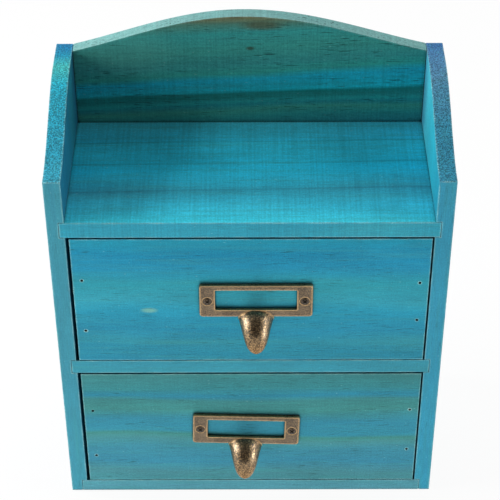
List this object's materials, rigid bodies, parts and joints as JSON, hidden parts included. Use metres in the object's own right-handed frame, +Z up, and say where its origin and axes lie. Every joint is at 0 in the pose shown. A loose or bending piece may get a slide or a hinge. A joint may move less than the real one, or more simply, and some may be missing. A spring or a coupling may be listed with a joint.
{
  "type": "desktop cabinet with drawers",
  "caption": "Small nailed wooden desktop cabinet with an open top shelf, a bell-shaped back and sliding drawers with metal label-frame pulls.",
  "frame": {"origin": "middle of the footprint, on the surface that the cabinet stands on", "axes": "+Z up, the drawers open towards -Y, +X to the right as seen from the front"},
  "size_m": [0.25, 0.1375, 0.3175],
  "materials": {
    "side_wood": "satin",
    "shelf_wood": "satin",
    "back_wood": "satin",
    "front_wood": "satin",
    "drawer_wood": "satin",
    "panel_wood": "satin",
    "antique_brass": "antique",
    "screw_steel": "antique",
    "nail_steel": "dull"
  },
  "bodies": {
    "case": {"left_side": "side_wood", "right_side": "side_wood", "shelf": "shelf_wood", "divider": "shelf_wood", "base_board": "shelf_wood", "back_board_top": "back_wood", "back_board_middle": "back_wood", "back_board_bottom": "back_wood", "side_nails": "nail_steel", "back_nails": "nail_steel"},
    "upper_drawer": {"upper_front": "front_wood", "upper_left_wall": "drawer_wood", "upper_right_wall": "drawer_wood", "upper_back_wall": "drawer_wood", "upper_bottom_panel": "panel_wood", "upper_pull": "antique_brass", "upper_pull_screws": "screw_steel", "upper_nails": "nail_steel"},
    "lower_drawer": {"lower_front": "front_wood", "lower_left_wall": "drawer_wood", "lower_right_wall": "drawer_wood", "lower_back_wall": "drawer_wood", "lower_bottom_panel": "panel_wood", "lower_pull": "antique_brass", "lower_pull_screws": "screw_steel", "lower_nails": "nail_steel"}
  },
  "joints": [
    {"name": "upper_drawer_slide", "type": "slide", "parent": "case", "child": "upper_drawer", "axis": [0, -1, 0], "range_m": [0, 0.09]},
    {"name": "lower_drawer_slide", "type": "slide", "parent": "case", "child": "lower_drawer", "axis": [0, -1, 0], "range_m": [0, 0.09]}
  ]
}
